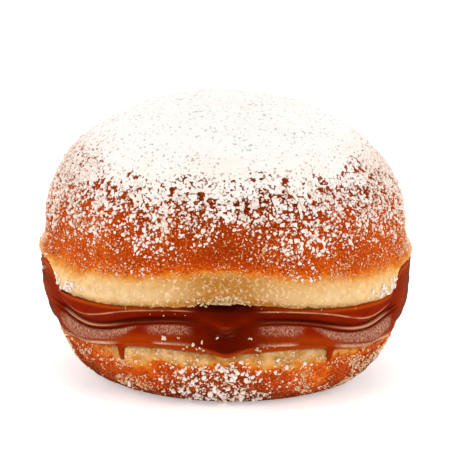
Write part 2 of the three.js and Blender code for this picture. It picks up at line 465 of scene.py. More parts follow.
def icosahedron():
    golden = (1 + math.sqrt(5)) / 2
    pairs = [(a, b, 0) for b in (golden, -golden) for a in (-1, 1)]
    corners = np.array([np.roll(pair, turn) for turn in range(3) for pair in pairs])
    faces = np.array(
        [(0, 11, 5), (0, 5, 1), (0, 1, 7), (0, 7, 10), (0, 10, 11), (1, 5, 9), (5, 11, 4)]
        + [(11, 10, 2), (10, 7, 6), (7, 1, 8), (3, 9, 4), (3, 4, 2), (3, 2, 6), (3, 6, 8)]
        + [(3, 8, 9), (4, 9, 5), (2, 4, 11), (6, 2, 10), (8, 6, 7), (9, 8, 1)]
    )
    return corners / np.linalg.norm(corners[0]), faces


def finer(corners, faces):
    """Splits each triangle of a ball into four, and puts the new corners on the ball."""
    edges = np.sort(faces[:, [[0, 1], [1, 2], [2, 0]]].reshape(-1, 2), axis=1)
    unique, where = np.unique(edges, axis=0, return_inverse=True)
    middles = unit(corners[unique].mean(axis=1))
    a, b, c = faces.T
    ab, bc, ca = (len(corners) + where.reshape(-1, 3)).T
    split = np.stack([a, ab, ca, ab, b, bc, ca, bc, c, ab, bc, ca], axis=1).reshape(-1, 3)
    return np.concatenate([corners, middles]), split


def octahedron():
    corners = np.array([(1, 0, 0), (-1, 0, 0), (0, 1, 0), (0, -1, 0), (0, 0, 1), (0, 0, -1)], float)
    faces = np.array([(0, 2, 4), (2, 1, 4), (1, 3, 4), (3, 0, 4), (2, 0, 5), (1, 2, 5), (3, 1, 5), (0, 3, 5)])
    return corners, faces


GRAIN = icosahedron()
LUMP = finer(*GRAIN)
SPECK = octahedron()


def turned(count, rng):
    """Random rotations, as matrices."""
    w, x, y, z = rng.normal(size=(4, count))
    length = np.sqrt(w * w + x * x + y * y + z * z)
    w, x, y, z = w / length, x / length, y / length, z / length
    rows = [
        [1 - 2 * (y * y + z * z), 2 * (x * y - z * w), 2 * (x * z + y * w)],
        [2 * (x * y + z * w), 1 - 2 * (x * x + z * z), 2 * (y * z - x * w)],
        [2 * (x * z - y * w), 2 * (y * z + x * w), 1 - 2 * (x * x + y * y)],
    ]
    return np.stack([np.stack(row, axis=-1) for row in rows], axis=1)


def add_grains(name, centres, radii, kind, material, rng):
    """One mesh of many uneven grains."""
    corners, faces = kind
    count = len(centres)
    shape = corners[None] * (1 + GRAIN_ROUGHNESS * rng.uniform(-1, 1, (count, len(corners), 1)))
    shape = shape * rng.uniform(0.65, 1.2, (count, 1, 3))
    shape = np.einsum("nij,nkj->nki", turned(count, rng), shape)
    vertices = (centres[:, None] + shape * radii[:, None, None]).reshape(-1, 3)
    steps = np.arange(count)[:, None, None] * len(corners)
    add_mesh(name, vertices, [(faces[None] + steps).reshape(-1, 3)], material)


def sample(surface, count, weigh, rng, apart):
    """Random points of a surface with their normals, where weigh(points, normals) says how likely they are.
    With a distance apart, points come from an even crop with at most one in each little cube of that size."""
    vertices = surface.vertices()
    triangles = surface.triangles()
    a, b, c = (vertices[triangles[:, k]] for k in range(3))
    cross = np.cross(b - a, c - a)
    area = np.linalg.norm(cross, axis=1)
    normal = cross / np.maximum(area, 1e-12)[:, None]
    weight = weigh((a + b + c) / 3, normal)
    total = np.cumsum(area * (weight > 0) if apart else area * weight)
    picked = np.searchsorted(total, rng.uniform(0, total[-1], CROP * count if apart else count))
    u, v = rng.uniform(size=(2, len(picked)))
    over = u + v > 1
    u, v = np.where(over, 1 - u, u), np.where(over, 1 - v, v)
    points = a[picked] + u[:, None] * (b - a)[picked] + v[:, None] * (c - a)[picked]
    if apart:
        cubes = np.floor(points / apart + lattice(np.floor(points / 7 + 0.5), 3)[:, None]).astype(np.int64)
        keys = (cubes[:, 0] * CUBE_STRIDE + cubes[:, 1]) * CUBE_STRIDE + cubes[:, 2]
        first = rng.permutation(np.unique(keys, return_index=True)[1])
        chosen = first[rng.uniform(size=len(first)) < np.clip(weight[picked[first]], 0, 1)]
        points, picked = points[chosen][:count], picked[chosen][:count]
    return points, normal[picked]


def strewn(points, normals, sizes, radii, rng):
    """Grains in crooked little rows that start at each point: their centres and radii."""
    longest = sizes.max()
    across = unit(np.cross(normals, (0, 0, 1)))
    along = np.cross(normals, across)
    heading = rng.uniform(0, 2 * math.pi, (len(points), 1)) + rng.normal(0, 1.1, (len(points), longest))
    stride = radii[:, None] * rng.uniform(0.7, 1.5, heading.shape)
    stride[:, 0] = 0
    east = np.cumsum(np.cos(heading) * stride, axis=1)[..., None]
    north = np.cumsum(np.sin(heading) * stride, axis=1)[..., None]
    centres = points[:, None] + east * across[:, None] + north * along[:, None]
    kept = np.arange(longest) < sizes[:, None]
    grain_radii = (radii[:, None] * rng.uniform(0.6, 1.25, heading.shape))[kept]
    owners = np.nonzero(kept)[0]
    lift = grain_radii * rng.uniform(0.2, 0.9, len(grain_radii))
    return centres[kept] + normals[owners] * lift[:, None], grain_radii


# ---- materials


class Shader:
    """A material under construction, with short ways to add and link its nodes."""

    def __init__(self, name):
        self.material = bpy.data.materials.new(name)
        self.material.use_nodes = True
        self.tree = self.material.node_tree
        self.tree.nodes.clear()
        glossy = self.output("BsdfPrincipled", "BSDF")
        self.surface = glossy.node
        self.feed(self.tree.nodes.new("ShaderNodeOutputMaterial").inputs["Surface"], glossy)
        self.place = self.output("TexCoord", "Object")

    def feed(self, socket, value):
        """Links another node's output to a socket, or sets the socket to a plain value."""
        if isinstance(value, bpy.types.NodeSocket):
            self.tree.links.new(value, socket)
        else:
            socket.default_value = value

    def output(self, kind, name, inputs=None, **settings):
        """Adds a node with these inputs and settings, and gives the named one of its outputs."""
        made = self.tree.nodes.new("ShaderNode" + kind)
        for setting, value in settings.items():
            setattr(made, setting, value)
        for socket, value in (inputs or {}).items():
            self.feed(made.inputs[socket], value)
        return made.outputs[name]

    def set(self, **values):
        """Sets or links inputs of the surface shader; an underscore stands for a space."""
        for name, value in values.items():
            self.feed(self.surface.inputs[name.replace("_", " ")], value)

    def skin(self, base, roughness, specular, glow, reach):
        """Sets colour, gloss, and the share of light that glows from under the surface, where reach is how
        far it spreads, in millimetres, for red, green and blue."""
        self.set(Base_Color=base, Roughness=roughness, Specular_IOR_Level=specular)
        self.set(Subsurface_Weight=glow, Subsurface_Scale=MM, Subsurface_Radius=reach)

    def attribute(self, name):
        return self.output("Attribute", "Fac", attribute_name=name)

    def noise(self, size, detail=2, rough=0.5, stretch=(1, 1, 1), turn=(0, 0, 0)):
        """Noise whose features are about this size in millimetres."""
        mapping = {"Vector": self.place, "Scale": stretch, "Rotation": turn}
        mapped = self.output("Mapping", "Vector", mapping)
        inputs = {"Vector": mapped, "Scale": 1 / (size * MM), "Detail": detail, "Roughness": rough}
        return self.output("TexNoise", "Fac", inputs)

    def math(self, operation, a, b):
        return self.output("Math", "Value", {0: a, 1: b}, operation=operation)

    def times(self, a, b):
        return self.math("MULTIPLY", a, b)

    def between(self, value, low, high, to_low=0, to_high=1):
        """Maps a value from one range to another, and holds it within the second."""
        inputs = {"Value": value, "From Min": low, "From Max": high, "To Min": to_low, "To Max": to_high}
        return self.output("MapRange", "Result", inputs)

    def ramp(self, value, stops):
        """A colour ramp through stops: a position, and an sRGB colour with channels from 0 to 255."""
        made = self.output("ValToRGB", "Color", {"Fac": value})
        ramp = made.node.color_ramp
        while len(ramp.elements) < len(stops):
            ramp.elements.new(0.5)
        for element, (position, tint) in zip(ramp.elements, stops):
            element.position = position
            element.color = colour(*tint)
        return made

    def mix(self, share, first, second):
        """One colour at a share of 0, and the other at 1."""
        return self.output("Mix", 2, {0: share, 6: first, 7: second}, data_type="RGBA")

    def bump(self, *layers):
        """Bump from (height, distance in millimetres) layers, one over the other."""
        normal = {}
        for height, distance in layers:
            inputs = {"Height": height, "Distance": distance * MM, "Strength": 1, **normal}
            normal = {"Normal": self.output("Bump", "Normal", inputs)}
        self.set(**normal)


def colour(*channels):
    """The linear colour of an sRGB colour with channels from 0 to 255."""
    shares = [channel / 255 for channel in channels]
    return (*(c / 12.92 if c <= 0.04045 else ((c + 0.055) / 1.055) ** 2.4 for c in shares), 1)


def crust_material():
    """Fried dough. The attribute toast is 0 on the pale ring and 1 on the darkest crust, the shade and tone
    attribute is how dark and olive the pale dough is, painted shade in the lid's front pinch and just over
    its rim and on the base tone that differs at random, darker at the front, and film is the share with a
    dusting of half-melted sugar."""
    shader = Shader("fried_dough")
    toast = shader.attribute("toast")
    blotches = shader.between(shader.noise(9, 4, 0.6), 0.3, 0.7, -0.08, 0.08)
    mottle = shader.between(shader.noise(1.4, 3, 0.6), 0.3, 0.7, -0.045, 0.045)
    toasted = shader.math("ADD", shader.math("ADD", toast, blotches), mottle)
    stops = [
        (0, (237, 204, 152)),
        (0.18, (239, 190, 120)),
        (0.3, (226, 136, 28)),
        (0.42, (202, 82, 2)),
        (0.62, (174, 56, 0)),
        (1, (104, 26, 0)),
    ]
    paleness = shader.between(toast, 0.2, 0.4, 1, 0)
    crusty = shader.math("SUBTRACT", 1, paleness)
    # Painted shade, and on the base random tone: the pale dough turns dark olive where the shade and tone
    # attribute is high.
    toned = shader.times(shader.attribute("shade_and_tone"), paleness)
    base = shader.mix(toned, shader.ramp(toasted, stops), colour(172, 112, 40))
    # Soft spots and light flecks of the pale dough, then pores and grit of the crust. Each has its noise's
    # size, detail and roughness, the range over which it appears, its strength, its place and its colour.
    spots = [
        (1.6, 4, 0.7, 0.42, 0.66, 0.66, paleness, (204, 148, 84)),
        (0.8, 3, 0.6, 0.54, 0.68, 0.5, paleness, (252, 234, 198)),
        (0.7, 3, 0.65, 0.48, 0.38, 0.7, crusty, (112, 30, 0)),
        (0.42, 2, 0.6, 0.57, 0.66, 0.5, crusty, (240, 150, 72)),
    ]
    for size, detail, rough, low, high, most, where, tint in spots:
        share = shader.between(shader.noise(size, detail, rough), low, high, 0, most)
        base = shader.mix(shader.times(share, where), base, colour(*tint))
    bare = shader.between(shader.attribute("film"), 0, 1, 0.74, 0.32)
    powder = shader.math("SUBTRACT", shader.noise(0.55, 2, 0.6), bare)
    base = shader.mix(shader.between(powder, 0, 0.06, 0, 0.8), base, colour(250, 210, 172))
    shader.skin(base, shader.between(toast, 0.2, 0.5, 0.7, 0.45), 0.02, 0.08, (2, 0.9, 0.4))
    crumb = shader.times(shader.noise(0.8, 4, 0.7), paleness)
    shader.bump((shader.noise(2.2, 3, 0.55), 0.1), (crumb, 0.32), (shader.noise(0.5, 2, 0.6), 0.07))
    return shader.material


def caramel_material():
    """Glossy caramel. Its attributes are shares: of thin, light caramel; of painted shade in its grooves and
    hollows; of brushing where the thick lower layer was pulled out, which also carries a painted reflection
    of the lamps; and of painted highlight along its edges."""
    shader = Shader("caramel_gloss")
    base = shader.ramp(shader.noise(5, 3, 0.55), [(0.3, (122, 20, 0)), (0.7, (142, 32, 0))])
    brushed_and_reflection = shader.attribute("brushed_and_reflection")
    hatch = shader.noise(0.27, 2, 0.6, stretch=(1, 1, 0.36), turn=(0.1, 0.3, 0))
    streaks = shader.between(hatch, 0.42, 0.66, 0, 0.85)
    # Thin caramel is lighter; then painted shade, the brushed patches darker with a painted reflection of the
    # lamps in pale streaks, and painted highlights along the edges.
    for share, tint in [
        (shader.attribute("thin"), (192, 78, 2)),
        (shader.attribute("painted_shade"), (72, 8, 0)),
        (shader.times(brushed_and_reflection, 0.85), (126, 62, 38)),
        (shader.times(brushed_and_reflection, streaks), (222, 166, 138)),
        (shader.attribute("painted_highlight"), (240, 180, 138)),
    ]:
        base = shader.mix(share, base, colour(*tint))
    shader.skin(base, shader.between(brushed_and_reflection, 0, 1, 0.13, 0.36), 0.3, 0.15, (2, 0.5, 0.12))
    shader.set(Specular_Tint=(1, 0.5, 0.25, 1))
    shader.bump((shader.noise(3.5, 2, 0.5), 0.05), (shader.times(hatch, brushed_and_reflection), 0.12))
    return shader.material


def dull_powder(shader, base, glow):
    """Gives a material the dull, grainy surface of powder."""
    shader.skin(base, 0.9, 0.2, glow, (0.8, 0.7, 0.65))
    shader.bump((shader.noise(0.35, 2, 0.6), 0.08))
    return shader.material


def sugar_material(name, tint, shade, glow=0.3):
    shader = Shader(name)
    grain = shader.between(shader.noise(0.5, 3, 0.7), 0.35, 0.65)
    return dull_powder(shader, shader.mix(grain, colour(*shade), colour(*tint)), glow)


def powder_coat_material():
    """The thick coat of powder, white with fine pinholes. The attribute sparse is 1 where it breaks up into
    damp, warmer flakes."""
    shader = Shader("powder_coat")
    sparse = shader.attribute("sparse")
    dampness = [(0, (248, 248, 245)), (0.5, (250, 240, 232)), (1, (248, 222, 206))]
    powder = shader.between(shader.noise(0.5, 3, 0.7), 0.35, 0.65, 0.3, 0)
    base = shader.mix(powder, shader.ramp(sparse, dampness), colour(230, 214, 202))
    cream = shader.between(shader.noise(14), 0.5, 0.68, 0, 0.2)
    base = shader.mix(cream, base, colour(246, 226, 208))
    flocks = shader.between(shader.noise(6), 0.4, 0.6, 0.045, -0.015)
    flocks = shader.math("SUBTRACT", flocks, shader.times(sparse, 0.08))
    holes = shader.math("SUBTRACT", shader.noise(0.8, 1, 0.5), flocks)
    thinned = shader.between(sparse, 0, 0.45)
    hole_colour = shader.mix(thinned, colour(178, 168, 158), colour(160, 88, 56))
    base = shader.mix(shader.between(holes, 0.62, 0.69, 0, 0.75), base, hole_colour)
    return dull_powder(shader, base, 0.1)


def floor_material():
    shader = Shader("pale_floor")
    white = shader.mix(shader.noise(90), (0.93, 0.93, 0.93, 1), (0.96, 0.96, 0.96, 1))
    shader.set(Base_Color=white, Roughness=0.9, Specular_IOR_Level=0.1)
    shader.set(Emission_Color=white, Emission_Strength=0.4)
    return shader.material


DOUGH = crust_material()
CARAMEL = caramel_material()
POWDER = powder_coat_material()
SUGAR = sugar_material("icing_sugar", (252, 240, 229), (240, 218, 202), glow=0.2)
DAMP_SUGAR = sugar_material("damp_sugar", (252, 226, 190), (240, 180, 110))
MORSEL = sugar_material("caramel_crumb", (252, 226, 206), (236, 184, 156))
MELTED = sugar_material("melted_sugar", (252, 206, 160), (230, 142, 76))
TUFT = sugar_material("crumb_tuft", (248, 220, 176), (204, 152, 96))
CRUMB = sugar_material("dough_crumb", (250, 228, 190), (222, 176, 118))


# ---- the lid and the caramel


def lid_relief(points, crust):
    """How far the lid's skin stands out: soft dimples on the crust and open crumb on the pale ring."""
    soft = 0.35 * noise(points, 16, 1, 2) + 0.1 * noise(points, 4, 2, 2)
    crumb = 0.16 * noise(points, 1.3, 3, 2) + 0.1 * noise(points, 2.6, 4)
    return soft + (1 - crust) * crumb + 0.03 * noise(points, 1.1, 5) * crust


def lid_crustness(points):
    """How far a point is above the edge where the crust begins."""
    uneven = 0.5 * noise(points, 5, 6, 2) + 0.25 * noise(points, 1.2, 7)
    return points[..., 2] - lid_crust_edge(azimuth_of(points)) + uneven


def make_lid():
    surface = Surface(lid_section, LID_SEGMENTS, TOTAL_HEIGHT, LID_CUT_HEIGHT)
    azimuth = np.broadcast_to(surface.azimuth, surface.radius.shape)
    height = surface.points[..., 2]
    over_rim = height - lid_rim(azimuth)
    powdery = powder_height(surface.points)
    above = lid_crustness(surface.points)
    relief = lid_relief(surface.points, rise(above, -1, 1.5))
    near_cut = rise(LID_RIM_HEIGHT + 3 - height, 0, 2.5)
    ragged = 0.35 * noise(surface.points, 1.1, 8, 2) * near_cut * (surface.radius > 42)
    inside = (surface.radius < 41) & (height < EQUATOR_HEIGHT)
    toast = np.interp(above, *LID_TOAST) + 0.2 * bump(azimuth, 26) * rise(above, 1, 4.5)
    # Painted shade: the crust darker where the sugar lies thick, in the gaps between the flakes.
    toast = toast + 0.14 * rise(powdery, 49, 55)
    toast = toast + 0.34 * fall(over_rim, 0.2, 1) * (1 - bump(azimuth, 14))
    # Painted shade: the pale dough darker and olive in the front pinch and at the lower edge of the pale
    # ring, over the caramel.
    front = bump(azimuth, 14) + 0.3 * bump(azimuth, 40)
    shade_and_tone = 0.85 * front + 0.9 * fall(over_rim, 0.2, 2.8) + 0.04
    film = np.interp(powdery, *FILM_COVER)
    surface.push(np.where(inside, 0, relief + ragged))
    attributes = {"toast": toast, "film": film, "shade_and_tone": np.clip(shade_and_tone, 0, 1)}
    piece = add_surface("lid_dough", surface, DOUGH, attributes)
    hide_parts("lid_bun")
    return surface


def brushing_and_reflection_share(points, azimuth, height, form):
    """How brushed the caramel is, and where it carries a painted reflection of the lamps: its tall face in
    patches that fade downwards, and its lip.
    """
    wander = 1.6 * noise(points, 0.9, 14, 2) + 1.2 * noise(points, 4, 15)
    frayed = azimuth + np.sign(azimuth) * DEGREE * wander
    top = form.groove - form.under - 0.15
    down = np.clip((top - height) / (top - form.end), 0, 1)
    lasting = 0.8 * rise(facing(azimuth) / DEGREE, 30, 42)
    faded = 1 - rise(down + 0.12 * noise(points, 0.8, 17, 2), 0.45, 0.9) * (1 - lasting)
    face = rise(top - height, -0.1, 0.25) * rise(height - form.end, -0.1, 0.3) * faded
    lip = bump_at(height - form.lip + 0.05, 0.45)
    return np.clip(brushing_and_reflection_around(frayed, down) * np.maximum(face, lip), 0, 1)


def painted_highlight_share(points, azimuth, height, form):
    """Painted highlights on the caramel: along its upper edge, its bead and its lip."""
    around = facing(azimuth) / DEGREE
    ends = rise(around, 9, 15) * fall(around, 55, 62)
    upright = points * (1, 1, 0.3)
    broken = rise(noise(upright, 3.5, 16, 2), -0.5, 0.2)
    edge = 0.6 * bump_at(height - form.edge + 0.15, 0.15) * ends * (0.35 + 0.65 * broken)
    bead = bump_at(height - form.groove + 0.1, 0.19) * ends * (0.06 + 0.7 * rise(around, 30, 44))
    fading = 0.35 + 0.65 * rise(noise(upright, 4, 18, 2), -0.5, 0.2)
    lip = 0.75 * bump_at(height - form.lip + 0.15, 0.34) * brushing_and_reflection_around(azimuth, 1) * fading
    return np.clip(np.maximum(np.maximum(edge, bead), lip), 0, 1)


def caramel_painted_shade(surface, azimuth, form, folds):
    """Painted shade on the caramel: darker in its groove, under its bead and its shelf, in the folds at the
    sides, and in the hollow in the middle of the front."""
    height = surface.height
    over = height - form.groove
    under_bead = bump_at(over + form.under, 0.2) * (1 - form.plain)
    painted_shade = 1.1 * bump_at(over - 0.4, 0.8) * fall(surface.radius, 45.2, 46.6)
    shaded = 0.5 * rise(form.edge - height, 0.3, 2.4) * rise(over, 0.1, 0.5)
    folded = 0.55 * rise(folds, -0.1, 0.45) * form.plain
    painted_shade = np.maximum(np.maximum(painted_shade, shaded * (1 - form.plain)), folded)
    cavity = rise(bump(azimuth, 11), 0.15, 0.6) * rise(height - form.edge, -0.7, 0.2)
    upper = rise(over, -0.9, 0.1)
    glow = bump(azimuth, 8) * bump_at(over - 0.6, 1)
    middle = 0.9 * bump(azimuth, 13) * (1 - upper) + 0.75 * bump(azimuth, 30) * upper * (1 - 0.6 * glow)
    painted_shade = np.maximum(np.maximum(0.8 * painted_shade * (1 - glow), 0.6 * under_bead), np.maximum(cavity, middle))
    return np.clip(painted_shade * (1 - 0.8 * rise(form.lip - height, 0.2, 1)), 0, 1)


def caramel_thinness(azimuth, height, form, folds, brushed_and_reflection):
    """Where the caramel is thin and light: below its lip, at the foot of its face, where it touches the lid,
    and on the ridges at the sides, with a painted glow there."""
    touching = 0.65 * bump_at(height - form.rim - 0.1, 0.45) * (1 - bump(azimuth, 14))
    side_glow = 0.5 * bump_at(np.abs(azimuth) - 80 * DEGREE, 11 * DEGREE)
    below_lip = 0.4 * rise(form.lip - height, 0.2, 1.2)
    thin = below_lip + (0.05 - 0.3 * folds + side_glow) * form.plain + touching
    face_foot = bump_at(height - form.end + 0.2, 1.3) * (1 - brushed_and_reflection)
    return thin + 0.35 * face_foot * (1 - bump(azimuth, 13)) * (1 - form.plain)


def make_caramel():
    surface = Surface(caramel_section, CARAMEL_SEGMENTS, LID_CUT_HEIGHT - GAP, BASE_CUT_HEIGHT + GAP)
    azimuth = np.broadcast_to(surface.azimuth, surface.radius.shape)
    points, height = surface.points, surface.height
    form = Ridges(azimuth)
    folds = noise(points * (0.2, 0.2, 1), 2.4, 19, 2) * form.plain
    brushed_and_reflection = brushing_and_reflection_share(points, azimuth, height, form)
    attributes = {
        "brushed_and_reflection": brushed_and_reflection,
        "thin": caramel_thinness(azimuth, height, form, folds, brushed_and_reflection),
        "painted_shade": caramel_painted_shade(surface, azimuth, form, folds),
        "painted_highlight": painted_highlight_share(points, azimuth, height, form),
    }
    ripple = 0.1 * noise(points * (0.3, 0.3, 1), 2.2, 11, 2) + 0.16 * noise(points, 8, 12)
    surface.push(rise(surface.radius, 42.3, 44) * (ripple - 0.45 * folds))
    piece = add_surface("caramel_layer", surface, CARAMEL, attributes)
    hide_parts("caramel_filling")
    return surface


def run_rows(base, azimuth, length, width, turns):
    """Down one run of caramel: rings of points from the lip over the base's pale edge."""
    column = int(round((azimuth * DEGREE + math.pi) / (2 * math.pi) * BASE_SEGMENTS)) % BASE_SEGMENTS
    wall = base.points[6:, column]
    outer = np.linalg.norm(wall[:, :2], axis=1)
    top = base_rim(azimuth * DEGREE) + 0.9
    rows = []
    for share in np.linspace(0, 1, 26):
        height = top - share * (length + 0.9)
        radius = np.interp(-height, -wall[:, 2], outer)
        radius = max(radius, BASE_RADIUS + 0.6) if share < 0.25 else radius
        drop = math.sqrt(max(0, 1 - max(0, (share - 0.8) / 0.2) ** 2))
        narrowing = max(drop, 0.02)
        half_width = (width / 2 * (1 - 0.3 * share) + 2.2 * (1 - share) ** 5) * narrowing
        depth = (0.45 + 0.9 * (1 - share) ** 3) * narrowing
        angle = azimuth * DEGREE + half_width * np.sin(turns) / radius
        outwards = radius + 0.1 + depth * np.cos(turns)
        rows.append(place(angle, outwards, np.full(len(turns), height)))
    return rows


def make_runs(base):
    """Runs of caramel from the lip down over the base's pale edge: flat tubes that end in a drop."""
    turns = np.linspace(0, 2 * math.pi, 20, endpoint=False)
    runs = [run_rows(base, *run, turns) for run in RUNS]
    vertices = np.concatenate([row for rows in runs for row in rows])
    rows = len(runs[0])
    faces = [ring_faces(rows, len(turns), run * rows * len(turns)) for run in range(len(runs))]
    shares = {"brushed_and_reflection": 0, "thin": 0.2, "painted_shade": 0, "painted_highlight": 0}
    attributes = {label: np.full(len(vertices), share) for label, share in shares.items()}
    add_mesh("caramel_runs", vertices, faces, CARAMEL, attributes)


# ---- the base


def make_base():
    surface = Surface(base_section, BASE_SEGMENTS, BASE_CUT_HEIGHT, 0)
    points = surface.points
    height = points[..., 2]
    azimuth = azimuth_of(points)
    uneven = 0.9 * noise(points, 4, 21, 2) + 0.5 * noise(points, 1.6, 22)
    below = base_crust_edge(azimuth) - height + uneven
    crust = rise(below, -1, 1)
    soft = 0.55 * noise(points, 9, 23, 2) + 0.45 * noise(points, 3.2, 24, 2)
    crumb = 0.16 * noise(points, 1.2, 25, 2)
    standing = rise(height, 0.3, 2.5) * rise(base_rim(azimuth) - height, 0.2, 2.2)
    relief = (soft + (1 - crust) * crumb) * standing * (surface.radius > 41 - 12 * crust)
    burnt = 0.22 * rise(noise(points, 6, 27, 2), 0.05, 0.5) * rise(below, 1.5, 4)
    around = np.abs(azimuth)
    browner = 0.38 * bump(azimuth, 20) + 0.28 * turning(around, 44, 58)
    rusty = 0.14 * turning(around, 36.5, 41) * fall(around, 1.2, 1.6)
    toast = np.interp(below, *BASE_TOAST) + browner * rise(below, 0.5, 3)
    toast = toast + burnt + rusty + 0.2 * noise(points, 2.2, 28, 2)
    # Olive tone that differs at random, and darker at the front.
    shade_and_tone = 0.5 + 0.9 * noise(points, 2.6, 26, 2) + 0.3 * bump(azimuth, 16)
    film = 0.22 * rise(below, -0.5, 1.5)
    surface.push(relief)
    surface.points[..., 2] = np.maximum(surface.points[..., 2], 0)
    attributes = {"toast": toast, "film": film, "shade_and_tone": np.clip(shade_and_tone, 0, 1)}
    piece = add_surface("base_dough", surface, DOUGH, attributes)
    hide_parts("base_bun")
    return surface


# ---- icing sugar and crumbs


def powder_height(points):
    """The height that counts for how much sugar lies here: tongues of sugar reach further down the sides."""
    azimuth = azimuth_of(points)
    height = points[..., 2]
    back = rise(np.abs(azimuth), 1.5, 1.9) * (3 + 3.8 * np.cos(7 * azimuth))
    low = 10 * bump(azimuth, 9, 25) + 2.5 * bump(azimuth, 12, 45) + 5.5 * bump(azimuth, 16, 72) + back - 2.5
    high = 3.5 * bump(azimuth, 9, 25) + 3.5 * bump(azimuth, 12, 45) + 1.2 * bump(azimuth, 20, 76)
    high = high + 3 * bump(azimuth, 15) - 0.5
    return height + low + (high - low) * rise(height, 43, 51)


def hexagonal_cap(reach, spacing):
    """A flat disc of even triangles: its points, and its faces."""
    count = int(reach / spacing * 1.2) + 1
    i, j = np.mgrid[-count : count + 1, -count : count + 1]
    flat = np.stack([(i + j / 2) * spacing, j * spacing * math.sqrt(3) / 2], axis=-1).reshape(-1, 2)
    index = np.arange(i.size).reshape(i.shape)
    a, b, c, d = index[:-1, :-1], index[1:, :-1], index[:-1, 1:], index[1:, 1:]
    faces = np.concatenate([np.stack(corners, -1).reshape(-1, 3) for corners in ((a, b, c), (b, d, c))])
    inside = (np.linalg.norm(flat, axis=1) < reach)[faces].all(axis=1)
    return flat, faces[inside]


def flake_thickness(ground, powdery):
    """How thick the sugar is here, in separate flakes that join into a closed coat where it covers all. It is
    below 0 in the gaps."""
    border, owner = cells(ground, FLAKE_SIZE, 31)
    border = border + 0.22 * noise(ground, 0.55, 35)
    cover = np.interp(powdery, *COAT_COVER)
    broad = (0.26 * noise(ground, 3.2, 32) + 0.1 * noise(ground, 9, 33)) * fall(powdery, 47, 54)
    present = 2.5 * (cover + broad - owner)
    crack = 0.2 - 0.15 * rise(cover, 0.3, 0.9) - 0.09 * rise(cover, 0.93, 1.02)
    flaky = np.clip(np.minimum(0.8 * (border - crack), present), -0.3, 0.26)
    closed = 0.24 * rise(cover, 0.99, 1.08) + 0.05 * noise(ground, 1.2, 34)
    return np.where(cover > 0.99, np.maximum(flaky, closed), flaky)


def add_flakes(name, lowest, highest, spacing):
    """A sheet of flakes on the dome between two heights, without the parts that lie under the crust."""
    turns = np.linspace(0, math.pi / 2, 400)
    radius, height = dome(np.ones(1), turns)
    length = np.concatenate([[0], np.cumsum(np.hypot(np.diff(radius), np.diff(height)))])
    inner, outer = np.interp([-highest, -lowest], -height, length)
    flat, faces = hexagonal_cap(outer, spacing)
    faces = faces[(np.linalg.norm(flat, axis=1) >= inner)[faces].all(axis=1)]
    used, where = np.unique(faces, return_inverse=True)
    flat, faces = flat[used], where.reshape(-1, 3)
    azimuth = azimuth_of(flat)
    turn = np.interp(np.linalg.norm(flat, axis=1), length, turns)
    radius, height = dome(azimuth, turn)
    ground = place(azimuth, radius, height)
    outward = (radius / CRUST_RADIUS) ** (DOME_POWER - 1) / CRUST_RADIUS
    upward = ((height - EQUATOR_HEIGHT) / CROWN_HEIGHT) ** (DOME_POWER - 1) / CROWN_HEIGHT
    normal = unit(np.stack([outward * np.sin(azimuth), -outward * np.cos(azimuth), upward], axis=-1))
    ground = ground + normal * lid_relief(ground, 1)[:, None]
    powdery = powder_height(ground)
    thickness = flake_thickness(ground, powdery)
    vertices = ground + normal * thickness[:, None]
    faces = faces[(thickness[faces] > -0.02).any(axis=1)]
    used, where = np.unique(faces, return_inverse=True)
    edge = 0.3 + 0.6 * turning(np.abs(azimuth), 40, 75)
    edge = edge * rise(np.hypot(ground[:, 0], ground[:, 1]), 27, 42)
    sparse = np.maximum(np.interp(powdery, *SPARSE_COAT), edge)
    add_mesh(name, vertices[used], [where.reshape(-1, 3)], POWDER, {"sparse": sparse[used]})


def make_sugar_coat():
    add_flakes("sugar_cap", 61, TOTAL_HEIGHT, 0.38)
    add_flakes("sugar_flakes", 39, 62, 0.28)


def patchiness(points, seed):
    """How likely sugar is here: more in patches of a few millimetres, and in small flocks."""
    wide = rise(noise(points, 7, seed, 2), -0.5, 0.5)
    flocks = rise(noise(points, 2.2, seed + 1), -0.45, 0.45)
    return (0.5 + wide) * (0.5 + flocks)


def strew(name, surface, weigh, count, sizes, radii, limit, kind, material, rng, apart=0):
    """Scatters grains over a surface in little groups, from the given ranges of sizes and radii."""
    points, normals = sample(surface, count, weigh, rng, apart)
    groups = rng.integers(sizes[0], sizes[1] + 1, len(points))
    groups = np.where(rng.uniform(size=len(points)) < 0.45, np.minimum(groups, 2), groups)
    centres, grain_radii = strewn(points, normals, groups, rng.uniform(*radii, len(points)), rng)
    add_grains(name, centres[:limit], grain_radii[:limit], kind, material, rng)


def make_lid_sugar(lid):
    def by_height(heights, shares, seed):
        def weigh(points, normals):
            upward = np.clip(normals[..., 2] + 0.45, 0, 1)
            on_crust = 0.05 + 0.95 * rise(lid_crustness(points), -0.6, 0.8)
            on_crust = on_crust * (points[..., 2] > lid_rim(azimuth_of(points)) + 2)
            likely = np.interp(powder_height(points), heights, shares)
            return likely * patchiness(points, seed) * upward * on_crust

        return weigh

    rng = np.random.default_rng(5)
    weigh = by_height([38, 41, 43, 45, 48, 54, 57, 59], [0, 0.05, 0.2, 0.32, 0.42, 0.42, 0.2, 0], 41)
    strew("sugar_clumps", lid, weigh, 1400, (1, 2), (0.28, 0.48), 2600, GRAIN, SUGAR, rng, apart=0.85)
    weigh = by_height([35, 39, 42, 46, 50, 55, 58, 60], [0, 0.14, 0.28, 0.36, 0.38, 0.4, 0.25, 0], 43)
    strew("sugar_grains", lid, weigh, 5000, (1, 3), (0.16, 0.32), 10000, SPECK, SUGAR, rng, apart=0.6)
    weigh = by_height([30, 32, 35, 44, 48, 54], [0, 0.15, 0.65, 0.45, 0.2, 0], 45)
    strew("melted_specks", lid, weigh, 8600, (1, 3), (0.11, 0.26), 16000, SPECK, MELTED, rng, apart=0.5)


